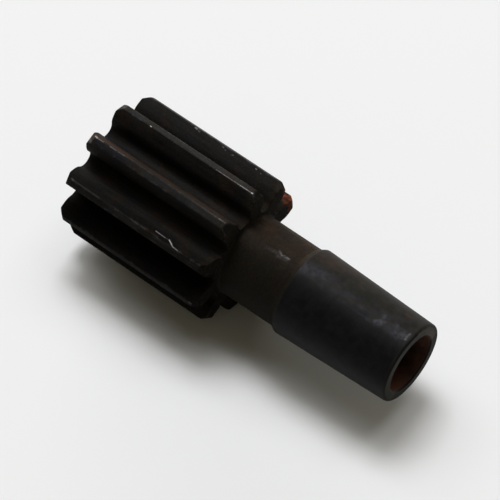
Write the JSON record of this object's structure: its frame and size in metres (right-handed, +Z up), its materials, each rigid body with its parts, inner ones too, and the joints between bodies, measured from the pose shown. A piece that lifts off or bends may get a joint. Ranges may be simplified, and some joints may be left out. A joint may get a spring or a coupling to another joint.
{
  "type": "pinion gear",
  "caption": "One-piece steel spur pinion with undercut teeth, a short neck and a hollow tapered shank that fits over or into a mating part.",
  "frame": {"origin": "on the surface it lies on, under the middle of its length and of its width", "axes": "+X along the pinion's own axis, from the toothed end towards the open end of the shank; +Z up"},
  "size_m": [0.0864, 0.036, 0.0347],
  "materials": {
    "blackened_steel": "blackened, satin, worn and lightly rusted"
  },
  "bodies": {
    "root": {"pinion": "blackened_steel"}
  },
  "joints": []
}
